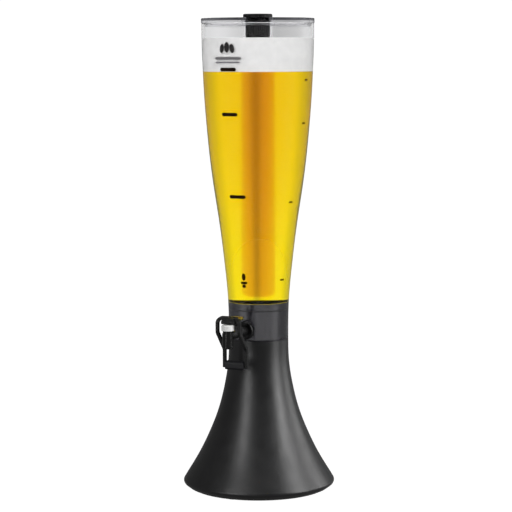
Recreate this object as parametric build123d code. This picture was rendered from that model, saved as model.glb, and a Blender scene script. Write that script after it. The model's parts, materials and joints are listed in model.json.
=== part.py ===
from build123d import *
import math
import os

# Table-top drinks tower with a push tap.  Millimetres, +Z up, origin on the
# table under the middle of the base, tap facing -Y.

# --- base: flared moulding, floor plate, weight, feet, screws ---------------
NECK_R = 37.4
BASE_TOP_Z = 190.5
BASE_RIM_R = 95.2
BASE_RIM_Z = 9.6
FLARE_END = (94.1, 12.6)
TOE_END = (93.6, 6.5)
BASE_WALL = 3.2
LIP_Z = 1.0
LIP_R = 84.6
LIP_INNER_R = 83.5
LIP_TOP_Z = 7.6
FLARE = [(38.5, 160), (43.3, 130), (51.0, 100), (62.7, 70), (77.6, 40), (89.7, 20)]

PLATE_R = 83.2
PLATE_Z = 4.0
PLATE_T = 3.0
RIDGE_IN_R = 66.3
RIDGE_OUT_R = 68.0
RIDGE_H = 3.0
BALLAST_R = 66.0
BALLAST_HOLE_R = 12.0
BALLAST_T = 10.0
FIXING_R = 73.5
FIXINGS = 4
BOSS_R = 4.6
BOSS_BOTTOM_Z = 7.2
BOSS_TOP_Z = 50.0
SCREW_R = 1.9
SCREW_LEN = 16.0
SCREW_HEAD_R = 3.8
SCREW_HEAD_H = 2.4
SCREW_SLOT = 1.0
FOOT_R = 9.0
FOOT_STUD_R = 2.5
FOOT_BARB_R = 3.4

# --- clear container --------------------------------------------------------
CONTAINER_BOTTOM_Z = 192.2
CONTAINER_TOP_Z = 583.5
CONTAINER_WALL = 2.5
BODY_CURVE = [(37.5, 214), (38.3, 240), (41.9, 280), (49.3, 340), (55.4, 380),
              (60.5, 420), (64.3, 460), (67.2, 500), (68.6, 530)]
CONTAINER_TOP_R = 69.8

# --- cup that closes the bottom and plugs into the base ----------------------
CUP_PRESS = 0.15
CUP_INNER_R = 32.0
CUP_TOP_Z = 237.0
CUP_FLANGE_Z = 190.8
CUP_FLOOR_TOP_Z = 192.8
CUP_FLANGE_TOP_Z = 192.1
SPIGOT_R = 33.5
SPIGOT_INNER_R = 31.0
SPIGOT_BOTTOM_Z = 165.0
CUP_GROOVE_Z = 228.0
CUP_RING_R = 34.55
CUP_RING_SECTION = 0.6

# --- lid, ice tube and its cap ----------------------------------------------
LID_R = 70.3
LID_BOTTOM_Z = 583.8
LID_TOP_Z = 589.7
LID_T = 3.2
LID_RING_R = 66.7
LID_RING_INNER_R = 64.2
LID_RING_BOTTOM_Z = 579.2
LID_GROOVE_Z = 581.6
LID_SEAL_R = 66.25
LID_SEAL_SECTION = 0.8
LID_HOLE_R = 18.3
LID_COLLAR_R = 21.0
LID_COLLAR_BOTTOM_Z = 582.0
TUBE_R = 18.0
TUBE_WALL = 2.0
TUBE_BOTTOM_Z = 242.0
TUBE_LIP_R = 19.5
TUBE_LIP_T = 1.2
TUBE_END_ROUND = 10.0
CAP_R = 18.2
CAP_BOTTOM_Z = 590.0
CAP_TOP_Z = 595.0
PLUG_R = 14.7
PLUG_BOTTOM_Z = 564.5
PLUG_WALL = 2.2
RIB_COUNT = 36
RIB_R = 0.45
CAP_GROOVE_Z = 586.0
CAP_SEAL_R = 15.05
CAP_SEAL_SECTION = 0.9
GRIP_COUNT = 24

# --- tap --------------------------------------------------------------------
TAP_Z = 205.0
SHANK_R = 6.5
SHANK_IN_Y = -21.5
FLANGE_FACE_Y = -39.5
FLANGE_T = 5.0
FLANGE_R = 11.8
GASKET_R = 11.0
WALL_HOLE_R = 6.8
NUT_FACE_Y = -28.8
NUT_T = 5.0
NUT_ACROSS_FLATS = 19.0
INNER_GASKET_R = 9.5
SPOUT_Y = -89.0
BARREL_R = 6.9
BARREL_BOTTOM_Z = 190.7
BARREL_TOP_Z = 207.5
NOSE_R = 6.2
NOSE_TOP_Z = 211.5
CHAMBER_R = 4.6
WAY_R = 2.8
WAY_Z = 203.5
SEAT_TOP_Z = 200.6
SEAT_Z = 199.4
SEAT_HOLE_R = 3.0
LOWER_R = 4.9
SOCKET_R = 5.5
SOCKET_TOP_Z = 193.3
NOZZLE_BOTTOM_Z = 188.7
NOZZLE_R = 6.7
NOZZLE_PLUG_R = 5.45
NOZZLE_WAY_R = 3.4
SPRING_POCKET_R = 4.3
SPRING_SEAT_Z = 190.3
SPRING_R = 3.6
SPRING_WIRE_R = 0.3
SPRING_TOP_Z = 196.3
SPRING_TURNS = 4
POPPET_R = 4.2
POPPET_BOTTOM_Z = 196.6
POPPET_T = 2.5
STEM_R = 1.4
STEM_FIT = 0.06
STEM_TOP_Z = 217.0
BONNET_BOTTOM_Z = 207.2
BONNET_TOP_Z = 212.3
BUTTON_R = 7.8
BUTTON_BORE_R = 6.8
BUTTON_BOTTOM_Z = 211.0
BUTTON_CEILING_Z = 216.2
BUTTON_TOP_Z = 218.2

# --- lever ------------------------------------------------------------------
PIN_Y = -74.0
PIN_Z = 218.5
PIN_R = 1.5
PIN_FIT = 0.04
PIN_LEN = 17.0
LUG_W = 7.0
LUG_R = 3.6
CHEEK_IN_X = 4.0
CHEEK_OUT_X = 7.2
LOOP_W = 33.2
BAR_W = 3.8
STRAP_T = 4.0
STRAP_TOP_Z = 228.5
LOOP_TOP_Y = -87.1
LOOP_LOW_Y = -67.4
LOOP_BACK_Y = -62.5
BACK_DROP = 3.5
BACK_W = 17.0
KNEE_HIGH_Z = 208.0
KNEE_LOW_Z = 185.0
LOOP_BOTTOM_Z = 162.0
THUMB_R = 2.5
THUMB_W = 16.0
ARCH_R = 9.0
WINDOW_R = 6.0
THUMB_Z = 221.0
PAD_Z = 165.0
PAD_W = 25.0
PAD_D = 12.0
PAD_H = 10.5
PAD_SET_BACK = 1.5
CROSS_R = 2.0


def turned(points):
    """Solid of revolution about Z from (radius, height) corners."""
    return revolve(make_face(Polyline([(r, 0, z) for r, z in points], close=True)), Axis.Z)


def ring(r_in, r_out, z0, z1):
    return turned([(r_in, z0), (r_out, z0), (r_out, z1), (r_in, z1)])


def rod(r, z0, z1, x=0.0, y=0.0):
    return Pos(x, y, z0) * Cylinder(r, z1 - z0, align=(Align.CENTER, Align.CENTER, Align.MIN))


def bar_y(r, y0, y1, z):
    """Round bar lying along Y."""
    return Pos(0, (y0 + y1) / 2, z) * Rot(90, 0, 0) * Cylinder(r, abs(y1 - y0))


def bar_x(r, length, y, z):
    """Round bar lying along X, centred."""
    return Pos(0, y, z) * Rot(0, 90, 0) * Cylinder(r, length)


def around(radius, count, start=0.0):
    """Positions evenly spaced on a circle."""
    for i in range(count):
        a = math.radians(start + 360.0 * i / count)
        yield radius * math.cos(a), radius * math.sin(a)


def o_ring(radius, section, z):
    return Pos(0, 0, z) * Torus(radius, section)


def smooth_profile(points, first, last):
    """Spline through (radius, height) points; end directions as (dr, dz)."""
    return Spline(*[(r, 0, z) for r, z in points],
                  tangents=[(first[0], 0, first[1]), (last[0], 0, last[1])])


def flare_curve(shift):
    points = [(NECK_R - shift, BASE_TOP_Z)]
    points += [(r - shift, z) for r, z in FLARE]
    points += [(FLARE_END[0] - shift, FLARE_END[1])]
    return smooth_profile(points, (0, -1), (0.55, -1))


def base_outside():
    skin = flare_curve(0)
    toe = ThreePointArc((FLARE_END[0], 0, FLARE_END[1]), (BASE_RIM_R, 0, BASE_RIM_Z),
                        (TOE_END[0], 0, TOE_END[1]))
    close = Polyline((TOE_END[0], 0, TOE_END[1]), (88.8, 0, 2.9), (LIP_R, 0, LIP_Z),
                     (0, 0, LIP_Z), (0, 0, BASE_TOP_Z), (NECK_R, 0, BASE_TOP_Z))
    return revolve(make_face([skin, toe, close]), Axis.Z)


def base_cavity():
    skin = flare_curve(BASE_WALL)
    top_r = NECK_R - BASE_WALL
    close = Polyline((FLARE_END[0] - BASE_WALL, 0, FLARE_END[1]), (LIP_INNER_R, 0, LIP_TOP_Z),
                     (LIP_INNER_R, 0, 0), (0, 0, 0), (0, 0, BASE_TOP_Z), (top_r, 0, BASE_TOP_Z))
    return revolve(make_face([skin, close]), Axis.Z)


def base_shell():
    outside = base_outside()
    shell = outside - base_cavity()
    for x, y in around(FIXING_R, FIXINGS, 45):
        boss = rod(BOSS_R, BOSS_BOTTOM_Z, BOSS_TOP_Z, x, y) & outside
        shell += boss
    for x, y in around(FIXING_R, FIXINGS, 45):
        shell -= rod(SCREW_R + 0.05, 0, PLATE_Z + SCREW_LEN + 2, x, y)
    return shell


def base_bottom_plate():
    plate = rod(PLATE_R, PLATE_Z, PLATE_Z + PLATE_T)
    plate += ring(RIDGE_IN_R, RIDGE_OUT_R, PLATE_Z + PLATE_T, PLATE_Z + PLATE_T + RIDGE_H)
    for x, y in around(FIXING_R, FIXINGS, 45):
        plate -= rod(SCREW_R + 0.3, 0, 12, x, y)
    for x, y in around(FIXING_R, FIXINGS, 0):
        plate -= rod(FOOT_STUD_R + 0.05, 0, 12, x, y)
    return plate


def ballast_disc():
    z0 = PLATE_Z + PLATE_T + 0.05
    disc = ring(BALLAST_HOLE_R, BALLAST_R, z0, z0 + BALLAST_T)
    return chamfer(disc.edges().filter_by(GeomType.CIRCLE), 0.8)


def rubber_feet():
    foot = turned([(0, 0), (FOOT_R - 1, 0), (FOOT_R, 1), (FOOT_R, PLATE_Z - 0.05),
                   (FOOT_STUD_R, PLATE_Z - 0.05), (FOOT_STUD_R, PLATE_Z + PLATE_T + 0.1),
                   (FOOT_BARB_R, PLATE_Z + PLATE_T + 0.4), (FOOT_STUD_R - 0.5, 10), (0, 10)])
    return Compound([Pos(x, y, 0) * foot for x, y in around(FIXING_R, FIXINGS, 0)])


def base_screws():
    under = PLATE_Z - 0.05
    screw = turned([(0, under - SCREW_HEAD_H), (SCREW_HEAD_R - 0.8, under - SCREW_HEAD_H),
                    (SCREW_HEAD_R, under - SCREW_HEAD_H + 0.8), (SCREW_HEAD_R, under),
                    (SCREW_R, under), (SCREW_R, under + SCREW_LEN - 1.5),
                    (0, under + SCREW_LEN)])
    slot_z = under - SCREW_HEAD_H
    for turn in (0, 90):
        slot = Box(SCREW_SLOT, SCREW_HEAD_R * 1.2, 2.4)
        screw -= Pos(0, 0, slot_z) * Rot(0, 0, turn) * slot
    return Compound([Pos(x, y, 0) * screw for x, y in around(FIXING_R, FIXINGS, 45)])


def body_curve(shift):
    points = [(NECK_R - shift, CONTAINER_BOTTOM_Z)]
    points += [(r - shift, z) for r, z in BODY_CURVE]
    points += [(CONTAINER_TOP_R - shift, CONTAINER_TOP_Z)]
    return smooth_profile(points, (0, 1), (0, 1))


def container():
    outer = body_curve(0)
    inner = body_curve(CONTAINER_WALL)
    foot = Line((NECK_R, 0, CONTAINER_BOTTOM_Z), (NECK_R - CONTAINER_WALL, 0, CONTAINER_BOTTOM_Z))
    rim = Line((CONTAINER_TOP_R, 0, CONTAINER_TOP_Z),
               (CONTAINER_TOP_R - CONTAINER_WALL, 0, CONTAINER_TOP_Z))
    vessel = revolve(make_face([outer, rim, inner, foot]), Axis.Z)
    return vessel - bar_y(WALL_HOLE_R, -50, 0, TAP_Z)


def bottom_cup():
    spigot = turned([(SPIGOT_INNER_R, SPIGOT_BOTTOM_Z), (SPIGOT_R - 0.8, SPIGOT_BOTTOM_Z),
                     (SPIGOT_R, SPIGOT_BOTTOM_Z + 1.5), (SPIGOT_R, CUP_FLANGE_Z),
                     (NECK_R, CUP_FLANGE_Z), (NECK_R, CUP_FLANGE_TOP_Z), (0, CUP_FLANGE_TOP_Z),
                     (0, CUP_FLANGE_Z - 1), (SPIGOT_INNER_R, CUP_FLANGE_Z - 1)])
    wall = body_curve(CONTAINER_WALL - CUP_PRESS)
    close = Polyline(wall @ 1, (0, 0, CONTAINER_TOP_Z), (0, 0, CONTAINER_BOTTOM_Z), wall @ 0)
    bowl = revolve(make_face([wall, close]), Axis.Z)
    bowl &= rod(NECK_R + 5, CONTAINER_BOTTOM_Z - 1, CUP_TOP_Z)
    cup = spigot + bowl + rod(CUP_INNER_R, CUP_FLANGE_Z, CONTAINER_BOTTOM_Z + 0.1)
    cup -= rod(CUP_INNER_R, CUP_FLOOR_TOP_Z, CUP_TOP_Z + 1)
    cup -= ring(CUP_RING_R - CUP_RING_SECTION - 0.02, NECK_R,
                CUP_GROOVE_Z - CUP_RING_SECTION - 0.05, CUP_GROOVE_Z + CUP_RING_SECTION + 0.05)
    return cup - bar_y(WALL_HOLE_R, -50, 0, TAP_Z)


def lid():
    inner_z = LID_TOP_Z - LID_T
    shape = turned([(LID_HOLE_R, LID_COLLAR_BOTTOM_Z), (LID_COLLAR_R, LID_COLLAR_BOTTOM_Z),
                    (LID_COLLAR_R, inner_z), (LID_RING_INNER_R, inner_z),
                    (LID_RING_INNER_R, LID_RING_BOTTOM_Z), (LID_RING_R - 0.8, LID_RING_BOTTOM_Z),
                    (LID_RING_R, LID_RING_BOTTOM_Z + 1.5), (LID_RING_R, LID_BOTTOM_Z),
                    (LID_R, LID_BOTTOM_Z), (LID_R, LID_TOP_Z - 0.8), (LID_R - 0.8, LID_TOP_Z),
                    (TUBE_LIP_R + 0.3, LID_TOP_Z), (TUBE_LIP_R + 0.3, LID_TOP_Z - TUBE_LIP_T - 0.3),
                    (LID_HOLE_R, LID_TOP_Z - TUBE_LIP_T - 0.3)])
    return shape - ring(LID_SEAL_R - LID_SEAL_SECTION - 0.02, LID_RING_R + 1,
                        LID_GROOVE_Z - LID_SEAL_SECTION - 0.1,
                        LID_GROOVE_Z + LID_SEAL_SECTION + 0.1)


def ice_tube():
    bore_r = TUBE_R - TUBE_WALL
    outer = fillet(rod(TUBE_R, TUBE_BOTTOM_Z, LID_TOP_Z).edges().group_by(Axis.Z)[0],
                   TUBE_END_ROUND)
    bore = fillet(rod(bore_r, TUBE_BOTTOM_Z + TUBE_WALL, LID_TOP_Z + 5).edges()
                  .group_by(Axis.Z)[0], TUBE_END_ROUND - TUBE_WALL)
    lip = ring(bore_r, TUBE_LIP_R, LID_TOP_Z - TUBE_LIP_T, LID_TOP_Z)
    return outer + lip - bore


def ice_tube_cap():
    hollow_r = PLUG_R - PLUG_WALL
    cap = turned([(0, CAP_TOP_Z), (CAP_R - 1, CAP_TOP_Z), (CAP_R, CAP_TOP_Z - 1),
                  (CAP_R, CAP_BOTTOM_Z), (PLUG_R, CAP_BOTTOM_Z), (PLUG_R, PLUG_BOTTOM_Z + 1.5),
                  (PLUG_R - 1.5, PLUG_BOTTOM_Z), (0, PLUG_BOTTOM_Z - 0.6)])
    cap -= turned([(0, PLUG_BOTTOM_Z + PLUG_WALL), (hollow_r, PLUG_BOTTOM_Z + PLUG_WALL),
                   (hollow_r, CAP_TOP_Z - 3.5), (0, CAP_TOP_Z - 3.5)])
    for x, y in around(PLUG_R, RIB_COUNT):
        cap += rod(RIB_R, PLUG_BOTTOM_Z + 3, CAP_GROOVE_Z - 3, x, y)
    for x, y in around(CAP_R + 0.55, GRIP_COUNT):
        cap -= rod(0.9, CAP_BOTTOM_Z - 1, CAP_TOP_Z + 1, x, y)
    return cap - ring(CAP_SEAL_R - CAP_SEAL_SECTION - 0.02, PLUG_R + 2,
                      CAP_GROOVE_Z - CAP_SEAL_SECTION - 0.1, CAP_GROOVE_Z + CAP_SEAL_SECTION + 0.1)


def lug():
    """Hinge ear standing on the shank."""
    block = Pos(0, PIN_Y, (TAP_Z + PIN_Z) / 2) * Box(LUG_W, 2 * LUG_R, PIN_Z - TAP_Z)
    return block + bar_x(LUG_R, LUG_W, PIN_Y, PIN_Z)


def tap_body():
    flange = bar_y(FLANGE_R, FLANGE_FACE_Y, FLANGE_FACE_Y - FLANGE_T, TAP_Z)
    flange = fillet(flange.edges().group_by(Axis.Y)[0], 1.5)
    body = bar_y(SHANK_R, SHANK_IN_Y, SPOUT_Y + 2, TAP_Z) + flange
    body += rod(BARREL_R, BARREL_BOTTOM_Z, BARREL_TOP_Z, 0, SPOUT_Y)
    body -= Pos(0, SPOUT_Y, 0) * ring(NOSE_R, BUTTON_R + 0.5, BARREL_TOP_Z, BUTTON_TOP_Z)
    body -= rod(NOSE_R + 0.1, NOSE_TOP_Z, BUTTON_TOP_Z, 0, SPOUT_Y)
    body += rod(NOSE_R, BARREL_TOP_Z - 1, NOSE_TOP_Z, 0, SPOUT_Y)
    body += lug()
    body -= bar_x(PIN_R + 0.01, 3 * LUG_W, PIN_Y, PIN_Z)
    body -= bar_y(WAY_R, 0, SPOUT_Y, WAY_Z)
    body -= rod(CHAMBER_R, SEAT_TOP_Z, NOSE_TOP_Z + 1, 0, SPOUT_Y)
    body -= rod(SEAT_HOLE_R, SEAT_Z - 1, SEAT_TOP_Z + 1, 0, SPOUT_Y)
    body -= rod(LOWER_R, BARREL_BOTTOM_Z - 1, SEAT_Z, 0, SPOUT_Y)
    return body - rod(SOCKET_R, BARREL_BOTTOM_Z - 1, SOCKET_TOP_Z, 0, SPOUT_Y)


def tap_outer_gasket():
    pad = bar_y(GASKET_R, -30, FLANGE_FACE_Y + 0.05, TAP_Z)
    return pad - rod(NECK_R + 0.4, TAP_Z - 20, TAP_Z + 20) - bar_y(SHANK_R + 0.1, -60, 0, TAP_Z)


def tap_inner_gasket():
    pad = bar_y(INNER_GASKET_R, -40, NUT_FACE_Y - 0.05, TAP_Z)
    pad &= rod(CUP_INNER_R - 0.05, TAP_Z - 20, TAP_Z + 20)
    return pad - bar_y(SHANK_R + 0.1, -60, 0, TAP_Z)


def tap_nut():
    corner_r = NUT_ACROSS_FLATS / math.sqrt(3)
    hexagon = extrude(RegularPolygon(corner_r, 6), NUT_T)
    nut = Pos(0, NUT_FACE_Y, TAP_Z) * Rot(-90, 0, 0) * hexagon
    return nut - bar_y(SHANK_R + 0.05, -60, 0, TAP_Z)


def spout_nozzle():
    return Pos(0, SPOUT_Y, 0) * turned([
        (NOZZLE_WAY_R, NOZZLE_BOTTOM_Z), (NOZZLE_R - 1, NOZZLE_BOTTOM_Z),
        (NOZZLE_R, NOZZLE_BOTTOM_Z + 1), (NOZZLE_R, BARREL_BOTTOM_Z - 0.05),
        (NOZZLE_PLUG_R, BARREL_BOTTOM_Z - 0.05), (NOZZLE_PLUG_R, SOCKET_TOP_Z - 0.05),
        (SPRING_POCKET_R, SOCKET_TOP_Z - 0.05), (SPRING_POCKET_R, SPRING_SEAT_Z),
        (NOZZLE_WAY_R, SPRING_SEAT_Z)])


def valve_spring():
    length = SPRING_TOP_Z - SPRING_SEAT_Z - 2 * SPRING_WIRE_R - 0.1
    path = Helix(length / SPRING_TURNS, length, SPRING_R)
    wire = Plane(origin=path @ 0, z_dir=path % 0) * Circle(SPRING_WIRE_R)
    z0 = SPRING_SEAT_Z + SPRING_WIRE_R + 0.05
    return Pos(0, SPOUT_Y, z0) * sweep(wire, path=path, is_frenet=True)


def valve_bonnet():
    plug_r = CHAMBER_R - 0.03
    bonnet = turned([(STEM_R + STEM_FIT, BONNET_BOTTOM_Z), (plug_r, BONNET_BOTTOM_Z),
                     (plug_r, NOSE_TOP_Z + 0.02), (NOSE_R - 0.2, NOSE_TOP_Z + 0.02),
                     (NOSE_R - 0.2, BONNET_TOP_Z), (STEM_R + STEM_FIT, BONNET_TOP_Z)])
    bonnet -= ring(0, STEM_R + 1.25, BONNET_BOTTOM_Z - 1, BONNET_BOTTOM_Z + 2)
    return Pos(0, SPOUT_Y, 0) * bonnet


def stem_seal():
    return Pos(0, SPOUT_Y, 0) * ring(STEM_R + STEM_FIT, STEM_R + 1.22,
                                     BONNET_BOTTOM_Z + 0.1, BONNET_BOTTOM_Z + 1.95)


def valve_stem():
    stem = rod(STEM_R, POPPET_BOTTOM_Z, STEM_TOP_Z, 0, SPOUT_Y)
    return chamfer(stem.edges().filter_by(GeomType.CIRCLE), 0.3)


def valve_poppet():
    top = POPPET_BOTTOM_Z + POPPET_T
    return Pos(0, SPOUT_Y, 0) * turned([
        (STEM_R + 0.02, POPPET_BOTTOM_Z), (POPPET_R, POPPET_BOTTOM_Z), (POPPET_R, top - 0.8),
        (POPPET_R - 0.8, top), (STEM_R + 0.02, top)])


def push_button():
    button = turned([(0, BUTTON_TOP_Z), (BUTTON_R - 1.2, BUTTON_TOP_Z - 0.2),
                     (BUTTON_R, BUTTON_TOP_Z - 1.2), (BUTTON_R, BUTTON_BOTTOM_Z),
                     (BUTTON_BORE_R, BUTTON_BOTTOM_Z), (BUTTON_BORE_R, BUTTON_CEILING_Z),
                     (0, BUTTON_CEILING_Z)])
    button -= rod(STEM_R + 0.02, BUTTON_CEILING_Z - 1, STEM_TOP_Z + 0.02)
    return Pos(0, SPOUT_Y, 0) * button


def lever_pin():
    pin = bar_x(PIN_R, PIN_LEN, PIN_Y, PIN_Z)
    return chamfer(pin.edges().filter_by(GeomType.CIRCLE), 0.3)


def tap_lever():
    mid_z = STRAP_TOP_Z - STRAP_T / 2
    side = FilletPolyline((0, LOOP_BACK_Y, mid_z - BACK_DROP), (0, LOOP_TOP_Y, mid_z),
                          (0, LOOP_TOP_Y, KNEE_HIGH_Z), (0, LOOP_LOW_Y, KNEE_LOW_Z),
                          (0, LOOP_LOW_Y, LOOP_BOTTOM_Z), radius=5)
    strap = sweep(Plane(origin=side @ 0, z_dir=side % 0, x_dir=(1, 0, 0))
                  * Rectangle(LOOP_W, STRAP_T), path=side, transition=Transition.ROUND)
    arch = Pos(0, -80, STRAP_TOP_Z - 50) * Box(LOOP_W, 80, 100)
    strap &= fillet(arch.edges().filter_by(Axis.Y).group_by(Axis.Z)[-1], ARCH_R)
    for sign in (-1, 1):
        off_cut = Polyline([(sign * (LOOP_W / 2 + 2), LOOP_TOP_Y + 5),
                            (sign * BACK_W / 2, LOOP_BACK_Y - 4),
                            (sign * BACK_W / 2, LOOP_BACK_Y + 5),
                            (sign * (LOOP_W / 2 + 2), LOOP_BACK_Y + 5)], close=True)
        strap -= Pos(0, 0, KNEE_HIGH_Z + 6) * extrude(make_face(off_cut), 30, dir=(0, 0, 1))
    window_w = LOOP_W - 2 * BAR_W
    window_h = STRAP_TOP_Z - STRAP_T - 100
    window = Pos(0, LOOP_TOP_Y + 3 - 20, 100 + window_h / 2) * Box(window_w, 40, window_h)
    window = fillet(window.edges().filter_by(Axis.Y).group_by(Axis.Z)[-1], WINDOW_R)
    window += Pos(0, -80, (100 + KNEE_HIGH_Z + 4) / 2) * Box(window_w, 60, KNEE_HIGH_Z + 4 - 100)
    lever = strap - window
    for side_sign in (-1, 1):
        x = side_sign * (CHEEK_IN_X + CHEEK_OUT_X) / 2
        width = CHEEK_OUT_X - CHEEK_IN_X
        lever += Pos(x, 0, 0) * bar_x(LUG_R, width, PIN_Y, PIN_Z)
        top_z = mid_z - BACK_DROP / 2
        lever += Pos(x, PIN_Y, (PIN_Z + top_z) / 2) * Box(width, 2 * LUG_R, top_z - PIN_Z)
    lever += bar_x(THUMB_R, THUMB_W, SPOUT_Y, THUMB_Z)
    lever += Pos(0, SPOUT_Y + 1, (THUMB_Z + mid_z) / 2) * Box(THUMB_W, 3, mid_z - THUMB_Z)
    lever += bar_x(CROSS_R, LOOP_W - BAR_W, LOOP_LOW_Y, PAD_Z)
    return lever - bar_x(PIN_R + PIN_FIT, 3 * LUG_W, PIN_Y, PIN_Z)


def push_pad():
    pad = Pos(0, LOOP_LOW_Y + PAD_SET_BACK, PAD_Z) * Box(PAD_W, PAD_D, PAD_H)
    pad = fillet(pad.edges().filter_by(Axis.X), 3.0)
    return pad - bar_x(CROSS_R + 0.03, 2 * PAD_W, LOOP_LOW_Y, PAD_Z)


PARTS = {
    "base_shell": base_shell,
    "base_bottom_plate": base_bottom_plate,
    "ballast_disc": ballast_disc,
    "rubber_feet": rubber_feet,
    "base_screws": base_screws,
    "container": container,
    "bottom_cup": bottom_cup,
    "cup_seal_ring": lambda: o_ring(CUP_RING_R, CUP_RING_SECTION, CUP_GROOVE_Z),
    "lid": lid,
    "lid_seal_ring": lambda: o_ring(LID_SEAL_R, LID_SEAL_SECTION, LID_GROOVE_Z),
    "ice_tube": ice_tube,
    "ice_tube_cap": ice_tube_cap,
    "cap_seal_ring": lambda: o_ring(CAP_SEAL_R, CAP_SEAL_SECTION, CAP_GROOVE_Z),
    "tap_body": tap_body,
    "tap_outer_gasket": tap_outer_gasket,
    "tap_inner_gasket": tap_inner_gasket,
    "tap_nut": tap_nut,
    "spout_nozzle": spout_nozzle,
    "valve_spring": valve_spring,
    "valve_bonnet": valve_bonnet,
    "stem_seal": stem_seal,
    "valve_stem": valve_stem,
    "valve_poppet": valve_poppet,
    "push_button": push_button,
    "lever_pin": lever_pin,
    "tap_lever": tap_lever,
    "push_pad": push_pad,
}

os.makedirs("parts", exist_ok=True)
for name, build in PARTS.items():
    export_step(build(), f"parts/{name}.step")
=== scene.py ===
import json
import math
import bmesh
import bpy
from mathutils import Matrix, Vector
from mathutils.bvhtree import BVHTree

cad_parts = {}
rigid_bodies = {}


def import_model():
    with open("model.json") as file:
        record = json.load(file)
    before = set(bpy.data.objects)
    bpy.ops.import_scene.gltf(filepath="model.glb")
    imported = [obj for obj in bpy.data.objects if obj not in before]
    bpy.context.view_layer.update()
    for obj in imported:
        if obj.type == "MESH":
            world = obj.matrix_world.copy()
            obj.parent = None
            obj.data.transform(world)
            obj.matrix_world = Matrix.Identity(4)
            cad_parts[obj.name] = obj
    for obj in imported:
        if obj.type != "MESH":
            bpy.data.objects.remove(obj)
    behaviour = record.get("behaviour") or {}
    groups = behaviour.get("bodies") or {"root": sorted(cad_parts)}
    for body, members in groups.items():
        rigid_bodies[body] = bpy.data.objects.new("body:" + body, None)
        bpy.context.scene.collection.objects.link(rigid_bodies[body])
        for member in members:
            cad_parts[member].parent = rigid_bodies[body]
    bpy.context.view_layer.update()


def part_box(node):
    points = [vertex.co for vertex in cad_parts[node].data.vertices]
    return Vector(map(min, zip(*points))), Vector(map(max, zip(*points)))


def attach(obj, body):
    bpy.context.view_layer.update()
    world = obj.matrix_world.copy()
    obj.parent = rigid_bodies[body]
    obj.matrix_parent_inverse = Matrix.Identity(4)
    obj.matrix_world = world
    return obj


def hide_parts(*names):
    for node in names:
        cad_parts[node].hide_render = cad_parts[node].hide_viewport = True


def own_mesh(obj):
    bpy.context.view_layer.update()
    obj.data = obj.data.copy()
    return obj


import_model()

MM = 0.001
scene = bpy.context.scene


# --- small helpers ------------------------------------------------------------
def material(name):
    mat = bpy.data.materials.new(name)
    mat.use_nodes = True
    tree = mat.node_tree
    shader = next(n for n in tree.nodes if n.type == "BSDF_PRINCIPLED")
    return mat, tree, shader


def node(tree, kind, **values):
    n = tree.nodes.new(kind)
    for key, value in values.items():
        if key in n.inputs:
            n.inputs[key].default_value = value
        else:
            setattr(n, key, value)
    return n


def coords(tree, scale=(1, 1, 1)):
    tex = node(tree, "ShaderNodeTexCoord")
    mapping = node(tree, "ShaderNodeMapping")
    mapping.inputs["Scale"].default_value = scale
    tree.links.new(tex.outputs["Object"], mapping.inputs["Vector"])
    return mapping.outputs["Vector"]


def noise(tree, scale, detail=3.0, rough=0.5, stretch=(1, 1, 1)):
    n = node(tree, "ShaderNodeTexNoise", Scale=scale, Detail=detail, Roughness=rough)
    tree.links.new(coords(tree, stretch), n.inputs["Vector"])
    return n.outputs["Fac"]


def spread(tree, source, low, high, from_low=0.3, from_high=0.7):
    n = node(tree, "ShaderNodeMapRange")
    n.inputs["From Min"].default_value = from_low
    n.inputs["From Max"].default_value = from_high
    n.inputs["To Min"].default_value = low
    n.inputs["To Max"].default_value = high
    tree.links.new(source, n.inputs["Value"])
    return n.outputs["Result"]


def ramp(tree, source, stops):
    n = node(tree, "ShaderNodeValToRGB")
    while len(n.color_ramp.elements) < len(stops):
        n.color_ramp.elements.new(0.5)
    for element, (place, colour) in zip(n.color_ramp.elements, stops):
        element.position = place
        element.color = (*colour, 1)
    tree.links.new(source, n.inputs["Fac"])
    return n.outputs["Color"]


def bump(tree, shader, source, strength, distance):
    n = node(tree, "ShaderNodeBump", Strength=strength, Distance=distance)
    tree.links.new(source, n.inputs["Height"])
    tree.links.new(n.outputs["Normal"], shader.inputs["Normal"])


def plastic(name, dark, light, rough_low, rough_high, grain_scale, grain, specular=0.5):
    """Moulded plastic: faint tone variation, uneven gloss and a fine moulded grain."""
    mat, tree, shader = material(name)
    tone = noise(tree, 35.0, 4.0)
    tree.links.new(ramp(tree, tone, [(0.3, dark), (0.7, light)]), shader.inputs["Base Color"])
    tree.links.new(spread(tree, noise(tree, 60.0), rough_low, rough_high),
                   shader.inputs["Roughness"])
    bump(tree, shader, noise(tree, grain_scale, 2.0), grain, 0.0002)
    shader.inputs["Specular IOR Level"].default_value = specular
    return mat


def metal(name, dark, light, rough_low, rough_high):
    mat, tree, shader = material(name)
    shader.inputs["Metallic"].default_value = 1.0
    streaks = noise(tree, 300.0, 3.0, 0.5, (1, 1, 0.1))
    tree.links.new(ramp(tree, streaks, [(0.3, dark), (0.7, light)]), shader.inputs["Base Color"])
    tree.links.new(spread(tree, streaks, rough_low, rough_high), shader.inputs["Roughness"])
    bump(tree, shader, streaks, 0.15, 0.0001)
    return mat


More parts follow.
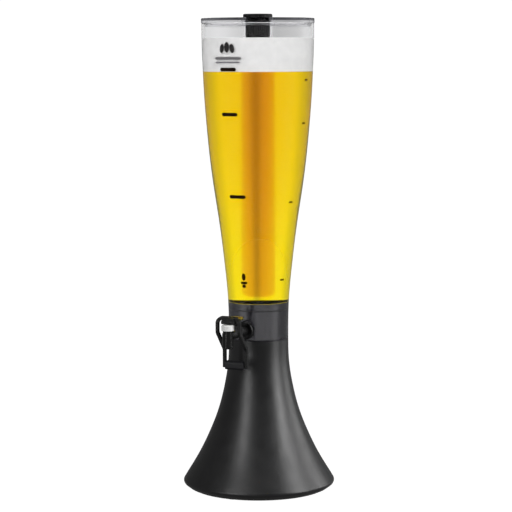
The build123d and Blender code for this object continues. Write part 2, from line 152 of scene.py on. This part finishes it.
def clear(name, tint, ior, absorb=None, density=0.0, rough=0.0, shine=1.0):
    """Clear solid: constant transmission, and a plain absorption inside it."""
    mat, tree, shader = material(name)
    shader.inputs["Base Color"].default_value = (*tint, 1)
    shader.inputs["Specular Tint"].default_value = (shine, shine, shine, 1)
    shader.inputs["Transmission Weight"].default_value = 1.0
    shader.inputs["IOR"].default_value = ior
    shader.inputs["Roughness"].default_value = rough
    if absorb:
        volume = node(tree, "ShaderNodeVolumeAbsorption", Density=density)
        volume.inputs["Color"].default_value = (*absorb, 1)
        output = next(n for n in tree.nodes if n.type == "OUTPUT_MATERIAL")
        tree.links.new(volume.outputs["Volume"], output.inputs["Volume"])
    return mat


def mesh_object(name, verts, faces, mat, body, smooth=True):
    mesh = bpy.data.meshes.new(name)
    mesh.from_pydata(verts, [], faces)
    mesh.update()
    if smooth:
        mesh.shade_smooth()
    mesh.materials.append(mat)
    obj = bpy.data.objects.new(name, mesh)
    scene.collection.objects.link(obj)
    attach(obj, body)
    return obj


def turned(name, profile, mat, body, segments=160, smooth=True):
    """Closed solid of revolution; profile is a closed loop of (r, z) in millimetres."""
    verts, rings = [], []
    for r, z in profile:
        if r < 1e-6:
            rings.append([len(verts)] * segments)
            verts.append((0.0, 0.0, z * MM))
            continue
        rings.append(list(range(len(verts), len(verts) + segments)))
        for i in range(segments):
            a = 2 * math.pi * i / segments
            verts.append((r * MM * math.cos(a), r * MM * math.sin(a), z * MM))
    faces = []
    for low, high in zip(rings, rings[1:] + rings[:1]):
        for i in range(segments):
            j = (i + 1) % segments
            corners = []
            for v in (low[i], low[j], high[j], high[i]):
                if v not in corners:
                    corners.append(v)
            if len(corners) > 2:
                faces.append(corners)
    obj = mesh_object(name, verts, faces, mat, body, smooth)
    bm = bmesh.new()
    bm.from_mesh(obj.data)
    bmesh.ops.recalc_face_normals(bm, faces=bm.faces)
    bm.to_mesh(obj.data)
    bm.free()
    if smooth:
        obj.data.set_sharp_from_angle(angle=math.radians(35))
    return obj


def cad(name):
    return next(o for o in bpy.data.objects if o.name == name or o.get("node") == name)


def dress(name, mat):
    obj = cad(name)
    for slot in obj.material_slots:
        slot.material = mat
    return obj


# --- camera ---------------------------------------------------------------------
AZIMUTH_DEG = 25.0
AZIMUTH = math.radians(AZIMUTH_DEG)
CAM_DISTANCE = 2.3895
CAM_HEIGHT = 0.545
CAM_PITCH = math.radians(6.0024)
CAM_ROLL = math.radians(0.17)
CAM_SIDE = -0.0030
cam_data = bpy.data.cameras.new("camera")
cam_data.sensor_width = 36.0
cam_data.lens = 1916.0 / 512.0 * 36.0
cam_data.clip_end = 100.0
cam = bpy.data.objects.new("camera", cam_data)
right = Vector((math.cos(AZIMUTH), math.sin(AZIMUTH), 0))
place = Vector((math.sin(AZIMUTH) * CAM_DISTANCE, -math.cos(AZIMUTH) * CAM_DISTANCE, CAM_HEIGHT))
turn = (Matrix.Rotation(AZIMUTH, 4, "Z") @ Matrix.Rotation(math.pi / 2 - CAM_PITCH, 4, "X")
        @ Matrix.Rotation(-CAM_ROLL, 4, "Z"))
cam.matrix_world = Matrix.Translation(place + right * CAM_SIDE) @ turn
scene.collection.objects.link(cam)
scene.camera = cam

# --- floor, world, lights ---------------------------------------------------------
def around_tent(tree, direction):
    """Brightness of the light tent round the object, by compass bearing, as glass sees it."""
    split = node(tree, "ShaderNodeSeparateXYZ")
    tree.links.new(direction, split.inputs[0])
    angle = node(tree, "ShaderNodeMath", operation="ARCTAN2")
    tree.links.new(split.outputs["Y"], angle.inputs[0])
    tree.links.new(split.outputs["X"], angle.inputs[1])
    bearing = node(tree, "ShaderNodeMapRange")
    bearing.inputs["From Min"].default_value = -math.pi
    bearing.inputs["From Max"].default_value = math.pi
    tree.links.new(angle.outputs[0], bearing.inputs["Value"])
    n = node(tree, "ShaderNodeValToRGB")
    stops = []
    for away, level in TENT:
        stops.append(((90.0 + AZIMUTH_DEG + away + 180.0) % 360.0 / 360.0, level))
    seam = 90.0 - AZIMUTH_DEG
    seam_level = next(a[1] + (b[1] - a[1]) * (seam - a[0]) / (b[0] - a[0])
                      for a, b in zip(TENT, TENT[1:]) if a[0] <= seam <= b[0])
    stops = sorted(stops + [(0.0, seam_level), (1.0, seam_level)])
    while len(n.color_ramp.elements) < len(stops):
        n.color_ramp.elements.new(0.5)
    for element, (place, level) in zip(n.color_ramp.elements, stops):
        element.position = place
        element.color = (level, level, level, 1)
    tree.links.new(bearing.outputs[0], n.inputs["Fac"])
    return n.outputs["Color"]


def seen_or_else(tree, seen, through, other):
    """One strength for camera rays, one for rays that come through glass, one for the rest."""
    rays = node(tree, "ShaderNodeLightPath")
    first = node(tree, "ShaderNodeMix", data_type="RGBA")
    tree.links.new(rays.outputs["Is Transmission Ray"], first.inputs["Factor"])
    first.inputs[6].default_value = (other, other, other, 1)
    tree.links.new(through, first.inputs[7])
    second = node(tree, "ShaderNodeMix", data_type="RGBA")
    tree.links.new(rays.outputs["Is Camera Ray"], second.inputs["Factor"])
    tree.links.new(first.outputs[2], second.inputs[6])
    second.inputs[7].default_value = (seen, seen, seen, 1)
    return second.outputs[2]


ROOF = 3.0
FLOOR_SEEN = 1.02
WORLD_SEEN = 1.05
STRAY = 0.12
# Degrees leftward of straight behind the object, as the camera sees it, and brightness there.
TENT = [(-172, 1.3), (-130, 1.35), (-116, 2.0), (-104, 2.0), (-92, 0.9), (-75, 0.55), (-50, 0.58),
        (-34, 0.80), (-24, 1.06), (-9, 1.06), (-5, 0.96), (-3.4, 0.74), (-1.3, 0.60), (0.8, 0.74),
        (2.4, 0.96), (8, 1.06), (24, 1.06), (34, 0.80), (50, 0.56), (75, 0.50), (95, 0.9),
        (108, 1.7), (120, 1.7), (132, 1.35), (172, 1.3)]

floor_mat, floor_tree, floor_shader = material("floor_white")
floor_shader.inputs["Base Color"].default_value = (0.25, 0.25, 0.25, 1)
floor_shader.inputs["Roughness"].default_value = 0.9
floor_shader.inputs["Specular IOR Level"].default_value = 0.0
glow = node(floor_tree, "ShaderNodeEmission")
floor_geo = node(floor_tree, "ShaderNodeNewGeometry")
floor_tent = around_tent(floor_tree, floor_geo.outputs["Position"])
floor_tree.links.new(seen_or_else(floor_tree, FLOOR_SEEN, floor_tent, STRAY), glow.inputs["Color"])
both = node(floor_tree, "ShaderNodeAddShader")
floor_tree.links.new(floor_shader.outputs[0], both.inputs[0])
floor_tree.links.new(glow.outputs[0], both.inputs[1])
floor_out = next(n for n in floor_tree.nodes if n.type == "OUTPUT_MATERIAL")
floor_tree.links.new(both.outputs[0], floor_out.inputs["Surface"])
floor_mesh = bpy.data.meshes.new("floor")
floor_mesh.from_pydata([(-30, -30, 0), (30, -30, 0), (30, 30, 0), (-30, 30, 0)], [], [(0, 1, 2, 3)])
floor_mesh.materials.append(floor_mat)
floor = bpy.data.objects.new("floor", floor_mesh)
scene.collection.objects.link(floor)

world = bpy.data.worlds.new("studio")
world.use_nodes = True
scene.world = world
wtree = world.node_tree
background = next(n for n in wtree.nodes if n.type == "BACKGROUND")
world_way = node(wtree, "ShaderNodeTexCoord")
height = node(wtree, "ShaderNodeSeparateXYZ")
wtree.links.new(world_way.outputs["Generated"], height.inputs[0])
roof = spread(wtree, height.outputs["Z"], 1.0, ROOF, 0.15, 0.6)
lit = node(wtree, "ShaderNodeVectorMath", operation="SCALE")
wtree.links.new(around_tent(wtree, world_way.outputs["Generated"]), lit.inputs[0])
wtree.links.new(roof, lit.inputs["Scale"])
wtree.links.new(seen_or_else(wtree, WORLD_SEEN, lit.outputs[0], STRAY), background.inputs["Color"])


def soft_light(name, azimuth, elevation, distance, width, height, watts, aim_z=0.25, only=()):
    data = bpy.data.lights.new(name, "AREA")
    data.shape = "RECTANGLE"
    data.size = width
    data.size_y = height
    data.energy = watts
    a, e = math.radians(azimuth), math.radians(elevation)
    spot = Vector((math.sin(a) * math.cos(e), -math.cos(a) * math.cos(e), math.sin(e))) * distance
    spot.z += aim_z
    lamp = bpy.data.objects.new(name, data)
    lamp.location = spot
    lamp.rotation_euler = (Vector((0, 0, aim_z)) - spot).to_track_quat("-Z", "Y").to_euler()
    scene.collection.objects.link(lamp)
    lamp.visible_camera = False
    lamp.visible_transmission = False
    if only:
        group = bpy.data.collections.new(name + "_lights")
        for part in only:
            group.objects.link(cad(part))
        lamp.light_linking.receiver_collection = group
    return lamp


DARK_PARTS = ("base_shell", "tap_body", "tap_lever", "push_pad", "push_button", "spout_nozzle",
              "bottom_cup", "ice_tube_cap")
soft_light("key_right", 93, 18, 1.8, 0.6, 1.6, 30, only=DARK_PARTS)
soft_light("rim_right", 135, 18, 1.8, 0.7, 1.6, 14, only=DARK_PARTS)
soft_light("fill_left", -13, 15, 1.8, 0.30, 1.6, 16, only=DARK_PARTS)
soft_light("overhead", 10, 80, 2.0, 2.2, 2.2, 10, 0.3)

scene.view_settings.view_transform = "Standard"
scene.view_settings.look = "None"
scene.cycles.max_bounces = 40
scene.cycles.transmission_bounces = 40
scene.cycles.transparent_max_bounces = 24
scene.cycles.glossy_bounces = 6
scene.cycles.diffuse_bounces = 4
scene.cycles.caustics_reflective = False
scene.cycles.caustics_refractive = True

# --- materials of the CAD nodes ------------------------------------------------------
BASE_BLACK = plastic("base_satin_black", (0.0085, 0.0085, 0.009), (0.012, 0.012, 0.0125),
                     0.34, 0.42, 2200.0, 0.25)
CUP_BLACK = plastic("cup_black", (0.016, 0.015, 0.019), (0.023, 0.022, 0.027),
                    0.12, 0.2, 900.0, 0.05)
TAP_BLACK = plastic("tap_gloss_black", (0.006, 0.006, 0.006), (0.010, 0.010, 0.010),
                    0.18, 0.24, 700.0, 0.08, 0.35)
PAD_BLACK = plastic("pad_black", (0.004, 0.004, 0.006), (0.007, 0.007, 0.009),
                    0.5, 0.6, 1500.0, 0.3, 0.3)
CAP_BLACK = plastic("cap_black", (0.005, 0.005, 0.005), (0.008, 0.008, 0.008),
                    0.35, 0.45, 1200.0, 0.15, 0.15)
BUTTON_WHITE = plastic("button_white", (0.78, 0.78, 0.77), (0.84, 0.84, 0.83),
                       0.22, 0.3, 900.0, 0.08)
VALVE_WHITE = plastic("valve_white", (0.6, 0.6, 0.58), (0.66, 0.66, 0.64), 0.3, 0.4, 900.0, 0.1)
PLATE_BLACK = plastic("plate_black", (0.018, 0.018, 0.018), (0.025, 0.025, 0.025),
                      0.5, 0.6, 1500.0, 0.4)
RUBBER = plastic("rubber", (0.012, 0.012, 0.012), (0.02, 0.02, 0.02), 0.65, 0.8, 1800.0, 0.5, 0.3)
SEAL_CLEAR = clear("seal_silicone", (0.72, 0.72, 0.73), 1.12, rough=0.15, shine=0.5)
STEEL = metal("steel", (0.55, 0.55, 0.56), (0.66, 0.66, 0.67), 0.22, 0.34)
IRON = metal("cast_iron", (0.10, 0.10, 0.10), (0.16, 0.155, 0.15), 0.55, 0.7)
# Painted shade: the wall's tint turns darker above the foam, from 564 mm up, to grey the headspace;
# the wall itself is the same clear plastic throughout.
WALL_TINT_LOW, WALL_SHADE_TINT = (0.96, 0.963, 0.966), (0.88, 0.88, 0.885)
WALL_SHADE_FROM, WALL_SHADE_TO = 0.564, 0.567
CLEAR = clear("clear_wall", WALL_TINT_LOW, 1.49, shine=0.15)
clear_tree = CLEAR.node_tree
clear_shader = next(n for n in clear_tree.nodes if n.type == "BSDF_PRINCIPLED")
clear_height = node(clear_tree, "ShaderNodeSeparateXYZ")
clear_tree.links.new(coords(clear_tree), clear_height.inputs[0])
wall_shade_mask = spread(clear_tree, clear_height.outputs["Z"], 0.0, 1.0, WALL_SHADE_FROM, WALL_SHADE_TO)
clear_tree.links.new(ramp(clear_tree, wall_shade_mask, [(0.0, WALL_TINT_LOW), (1.0, WALL_SHADE_TINT)]),
                     clear_shader.inputs["Base Color"])
CLEAR_TUBE = clear("clear_tube", (0.90, 0.90, 0.905), 1.12)
TUBE_WET = clear("clear_tube_wet", (0.985, 0.98, 0.97), 1.0)
LID_SMOKE = clear("lid_clear", (0.90, 0.90, 0.905), 1.12, (0.5, 0.5, 0.52), 40.0, shine=0.5)

for name, mat in {
        "base_shell": BASE_BLACK, "base_bottom_plate": PLATE_BLACK, "ballast_disc": IRON,
        "rubber_feet": RUBBER, "base_screws": STEEL, "container": CLEAR,
        "bottom_cup": CUP_BLACK, "cup_seal_ring": RUBBER, "lid": LID_SMOKE,
        "lid_seal_ring": SEAL_CLEAR, "ice_tube": CLEAR_TUBE, "ice_tube_cap": CAP_BLACK,
        "cap_seal_ring": RUBBER, "tap_body": TAP_BLACK, "tap_outer_gasket": RUBBER,
        "tap_inner_gasket": RUBBER, "tap_nut": STEEL, "spout_nozzle": TAP_BLACK,
        "valve_spring": STEEL, "valve_bonnet": VALVE_WHITE, "stem_seal": RUBBER,
        "valve_stem": STEEL, "valve_poppet": RUBBER, "push_button": BUTTON_WHITE,
        "lever_pin": STEEL, "tap_lever": TAP_BLACK, "push_pad": PAD_BLACK}.items():
    dress(name, mat)

# --- walls of the container and the ice tube, and the cup's seal -----------------------
def profile_of(name, low, high):
    """(height, radius) of a CAD node's mesh points between two radii measured from a rough line."""
    found = {}
    obj = cad(name)
    for v in obj.data.vertices:
        p = obj.matrix_world @ v.co
        r, z = math.hypot(p.x, p.y) / MM, p.z / MM
        if low(z) < r < high(z):
            found.setdefault(round(z, 2), []).append(r)
    return sorted((z, sum(rs) / len(rs)) for z, rs in found.items())


def at_height(pairs, z):
    """Radius at a height, from a parabola through the three nearest points."""
    near = sorted(pairs, key=lambda q: abs(q[0] - z))
    chosen = [near[0]]
    for q in near[1:]:
        if all(abs(q[0] - c[0]) > 2.0 for c in chosen):
            chosen.append(q)
        if len(chosen) == 3:
            break
    total = 0.0
    for i, (zi, ri) in enumerate(chosen):
        term = ri
        for j, (zj, _) in enumerate(chosen):
            if i != j:
                term *= (z - zj) / (zi - zj)
        total += term
    return total


wall = cad("container")
wall_low, wall_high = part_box("container")
WALL_FOOT, WALL_TOP = wall_low[2] / MM, wall_high[2] / MM
wall_tree = BVHTree.FromPolygons([wall.matrix_world @ v.co for v in wall.data.vertices],
                                 [p.vertices[:] for p in wall.data.polygons])


def rough_inner(z):
    z = min(max(z, WALL_FOOT + 0.3), WALL_TOP - 0.3)
    hit = wall_tree.ray_cast(Vector((0, 0, z * MM)), Vector((0.6, 0.8, 0)))
    return hit[3] / MM


INNER = profile_of("container", lambda z: rough_inner(z) - 1.2, lambda z: rough_inner(z) + 1.2)
OUTER = profile_of("container", lambda z: rough_inner(z) + 1.2, lambda z: 200.0)


def inner_radius(z):
    return at_height(INNER, z)


def outer_radius(z):
    return at_height(OUTER, z)


steps = 110
heights = [WALL_FOOT + (WALL_TOP - WALL_FOOT) * i / steps for i in range(steps + 1)]
rim = [(outer_radius(WALL_TOP) - 0.5, WALL_TOP), (inner_radius(WALL_TOP) + 0.5, WALL_TOP)]
container_wall = turned("container_wall",
                        [(outer_radius(z), z) for z in heights[:-1]]
                        + [(outer_radius(WALL_TOP), WALL_TOP - 0.5)] + rim
                        + [(inner_radius(WALL_TOP), WALL_TOP - 0.5)]
                        + [(inner_radius(z), z) for z in reversed(heights[:-1])],
                        CLEAR, "reservoir", 256)
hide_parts("container")

tube_low, tube_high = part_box("ice_tube")
CUP_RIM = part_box("bottom_cup")[1][2] / MM
TUBE_END = tube_low[2] / MM
TUBE_TOP = tube_high[2] / MM
LIP_R = tube_high[0] / MM
CUP_R = 32.0
CUP_FLOOR = 192.8
TUBE_R = 18.0
TUBE_WALL = 2.0
TUBE_ROUND = 10.0
LIP_T = 1.2
BEER_TOP = 524.2
FOAM_TOP = 565.2
SINK = 0.5


def tube_skin(r, end, top, corner):
    """A tube's side from a height down to its rounded closed end."""
    points = [(r, top), (r, end + corner)]
    for i in range(1, 9):
        a = math.pi / 2 * i / 8
        points.append((r - corner + corner * math.cos(a), end + corner - corner * math.sin(a)))
    return points + [(0, end)]


bore = tube_skin(TUBE_R - TUBE_WALL, TUBE_END + TUBE_WALL, TUBE_TOP, TUBE_ROUND - TUBE_WALL)
bore.insert(1, (TUBE_R - TUBE_WALL, BEER_TOP))
skin = tube_skin(TUBE_R, TUBE_END, TUBE_TOP - LIP_T, TUBE_ROUND)
skin.insert(1, (TUBE_R, BEER_TOP))
tube_wall = turned("ice_tube_wall",
                   list(reversed(skin)) + [(LIP_R, TUBE_TOP - LIP_T), (LIP_R, TUBE_TOP - 0.3),
                                           (LIP_R - 0.3, TUBE_TOP)] + bore,
                   CLEAR_TUBE, "ice_tube", 192)
tube_wall.data.materials.append(TUBE_WET)
for face in tube_wall.data.polygons:
    if face.center.z < BEER_TOP * MM:
        face.material_index = 1
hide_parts("ice_tube")

seal_low, seal_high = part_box("cup_seal_ring")
seal_out = inner_radius((seal_low[2] + seal_high[2]) / 2 / MM) + 0.2
seal_in = (seal_high[0] - (seal_high[2] - seal_low[2])) / MM
cup_seal = turned("cup_seal_visual",
                  [(seal_in + 0.3, seal_low[2] / MM), (seal_out, seal_low[2] / MM - 0.03),
                   (seal_out, seal_high[2] / MM + 0.03), (seal_in + 0.3, seal_high[2] / MM),
                   (seal_in, (seal_low[2] + seal_high[2]) / 2 / MM)],
                  RUBBER, "reservoir", 192)
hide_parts("cup_seal_ring")

# --- the valve's spring (it shortens as the button goes down; here a fixed coil) --------
SPRING_WIRE_R = 0.3
SPRING_TURNS = 4
spring_low, spring_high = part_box("valve_spring")
spring_y = (spring_low[1] + spring_high[1]) / 2
coil_r = (spring_high[0] - spring_low[0]) / 2 - SPRING_WIRE_R * MM
coil_steps, wire_sides = 24 * SPRING_TURNS, 10
wire_r = SPRING_WIRE_R * MM
coil_rise = spring_high[2] - spring_low[2] - 2 * wire_r
coil_verts, coil_faces = [], []
for i in range(coil_steps + 1):
    turn_angle = 2 * math.pi * SPRING_TURNS * i / coil_steps
    z = spring_low[2] + wire_r + coil_rise * i / coil_steps
    for k in range(wire_sides):
        side = 2 * math.pi * k / wire_sides
        r = coil_r + wire_r * math.cos(side)
        coil_verts.append((r * math.cos(turn_angle), spring_y + r * math.sin(turn_angle),
                           z + wire_r * math.sin(side)))
for i in range(coil_steps):
    for k in range(wire_sides):
        p, q, m = i * wire_sides, (i + 1) * wire_sides, (k + 1) % wire_sides
        coil_faces.append((p + k, q + k, q + m, p + m))
coil_faces.append(tuple(range(wire_sides)))
coil_faces.append(tuple(reversed(range(coil_steps * wire_sides, (coil_steps + 1) * wire_sides))))
spring_coil = mesh_object("valve_spring_coil", coil_verts, coil_faces, STEEL, "reservoir")
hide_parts("valve_spring")
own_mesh(spring_coil)

# --- the drink -------------------------------------------------------------------------
wall_points = []
for i in range(91):
    z = CUP_RIM - 0.3 + (BEER_TOP - CUP_RIM + 0.3) * i / 90
    wall_points.append((inner_radius(z) + SINK, z))
BEER = clear("beer", (1, 1, 1), 1.34, (0.9955, 0.9807, 0.0), 260.0, shine=0.15)
beer = turned("beer", [(0, CUP_FLOOR - 0.2), (CUP_R + 0.25, CUP_FLOOR - 0.2),
                       (CUP_R + 0.25, CUP_RIM - 0.3)] + wall_points + [(0, BEER_TOP)],
              BEER, "reservoir", 256)

# Painted shade: an amber absorbing column in the ice tube's bore, with no refraction (IOR 1.0),
# darkens the drink's orange middle in place of the tube's own optics.
TUBE_SHADE_TINT = clear("tube_water", (1, 1, 1), 1.0, (0.875, 0.50, 0.0), 40.0)
SHADE_CORE_GAP = 0.05
SHADE_CORE_TOP = BEER_TOP - 0.2
shade_core_skin = tube_skin(TUBE_R - TUBE_WALL - SHADE_CORE_GAP, TUBE_END + TUBE_WALL + SHADE_CORE_GAP, SHADE_CORE_TOP,
                       TUBE_ROUND - TUBE_WALL)
shade_core = turned("tube_water", list(reversed(shade_core_skin)) + [(0, SHADE_CORE_TOP)], TUBE_SHADE_TINT, "ice_tube", 192)

foam_mat, foam_tree, foam = material("foam")
foam_tone = noise(foam_tree, 120.0, 5.0)
foam_colour = ramp(foam_tree, foam_tone, [(0.3, (0.84, 0.835, 0.83)), (0.7, (0.90, 0.895, 0.89))])
foam_tree.links.new(foam_colour, foam.inputs["Base Color"])
foam.inputs["Roughness"].default_value = 0.8
foam.inputs["Specular IOR Level"].default_value = 0.2
bump(foam_tree, foam, noise(foam_tree, 700.0, 3.0), 0.3, 0.0004)
foam_wall = []
for i in range(13):
    z = BEER_TOP + 0.05 + (FOAM_TOP - BEER_TOP) * i / 12
    foam_wall.append((inner_radius(z) + SINK, z))
foam_body = turned("foam", foam_wall + [(inner_radius(FOAM_TOP) - 2, FOAM_TOP + 0.3),
                                        (TUBE_R + 3, FOAM_TOP - 0.6), (TUBE_R - SINK, FOAM_TOP),
                                        (TUBE_R - SINK, BEER_TOP + 0.05)],
                   foam_mat, "reservoir")


# --- printing on the wall -----------------------------------------------------------------
def ink(name, dark, light):
    mat, tree, shader = material(name)
    tree.links.new(ramp(tree, noise(tree, 900.0, 4.0), [(0.35, dark), (0.65, light)]),
                   shader.inputs["Base Color"])
    shader.inputs["Roughness"].default_value = 0.5
    shader.inputs["Specular IOR Level"].default_value = 0.2
    bump(tree, shader, noise(tree, 1500.0, 2.0), 0.2, 0.0001)
    return mat


INK_THICK = 0.12


def printed(name, shapes, azimuth, z0, mat):
    """Ink on the container: each shape is columns of (across, low, high) in millimetres."""
    verts, faces = [], []
    for columns in shapes:
        first = len(verts)
        for across, low, high in columns:
            for v in (low, (low + high) / 2, high):
                for lift in (0.05, 0.05 + INK_THICK):
                    r = outer_radius(z0 + v) + lift
                    a = math.radians(azimuth) + across / outer_radius(z0)
                    verts.append((r * MM * math.sin(a), -r * MM * math.cos(a), (z0 + v) * MM))
        for i in range(len(columns) - 1):
            p, q = first + 6 * i, first + 6 * (i + 1)
            for k in (0, 2):
                faces.append((p + k + 1, q + k + 1, q + k + 3, p + k + 3))
                faces.append((p + k, p + k + 2, q + k + 2, q + k))
            faces.append((p, q, q + 1, p + 1))
            faces.append((p + 4, p + 5, q + 5, q + 4))
        last = first + 6 * (len(columns) - 1)
        for p, flip in ((first, 1), (last, -1)):
            for k in (0, 2):
                faces.append((p + k, p + k + 1, p + k + 3, p + k + 2)[::flip])
    piece = mesh_object(name, verts, faces, mat, "reservoir", False)
    bm = bmesh.new()
    bm.from_mesh(piece.data)
    bmesh.ops.recalc_face_normals(bm, faces=bm.faces)
    bm.to_mesh(piece.data)
    bm.free()
    return piece


def pill(x, y, width, height, waist=0.0):
    """A bar with round ends; waist thins its middle."""
    columns = []
    for i in range(25):
        t = -1 + i / 12
        u = t * width / 2
        end = max(0.0, abs(u) - (width / 2 - height / 2)) / (height / 2)
        half = height / 2 * math.sqrt(max(0.02, 1 - end * end))
        half *= 1 - waist * max(0.0, 1 - abs(t) / 0.6)
        columns.append((x + u, y - half, y + half))
    return columns


def grain(x, y, width, height, lean=0.0):
    """A pointed oval like a barley grain."""
    columns = []
    for i in range(15):
        t = -1 + i / 7
        half = height / 2 * math.sqrt(max(0.01, 1 - t * t))
        columns.append((x + t * width / 2, y - half + lean * t, y + half + lean * t))
    return columns


INK_BROWN = ink("ink_brown", (0.018, 0.006, 0.003), (0.045, 0.016, 0.006))
INK_MID = ink("ink_soft_brown", (0.05, 0.018, 0.004), (0.09, 0.034, 0.008))
INK_GREY = ink("ink_grey", (0.09, 0.085, 0.085), (0.14, 0.135, 0.135))
INK_PALE = ink("ink_pale_grey", (0.74, 0.71, 0.79), (0.80, 0.77, 0.85))
INK_LINE = ink("ink_line_grey", (0.70, 0.67, 0.71), (0.78, 0.75, 0.79))
INK_FAINT = ink("ink_amber", (0.26, 0.13, 0.004), (0.36, 0.19, 0.008))

for name, z, azimuth in (("top", 527.0, -7.4), ("middle", 472.5, -7.4), ("low", 371.5, -3.4)):
    printed("mark_" + name, [pill(0, 0, 22.6, 4.5, 0.1)], azimuth, z, INK_BROWN)
printed("serving_mark", [grain(0, 4.0, 5.0, 9.0), pill(0, -3.5, 9.0, 3.0),
                         grain(0, -7.5, 5.0, 4.5)], -1.5, 267.5, INK_MID)
printed("badge", [grain(-7.2, -0.6, 6.4, 10.5, 1.2), grain(0, 0.8, 6.8, 12.6),
                  grain(7.2, -0.6, 6.4, 10.5, -1.2)], -8.0, 553.0, INK_GREY)
printed("badge_bar", [pill(0, 0, 38.7, 3.2)], -8.0, 540.6, INK_LINE)
printed("badge_line", [pill(0, 0, 37.0, 1.5)], -8.0, 535.6, INK_PALE)
for i, (z, azimuth) in enumerate(((514.0, 85.0), (461.0, 85.0), (364.0, 74.0), (267.0, 71.0))):
    printed("side_mark_%d" % (i + 1), [pill(0, 0, 7.0, 2.2)], azimuth, z, INK_FAINT)
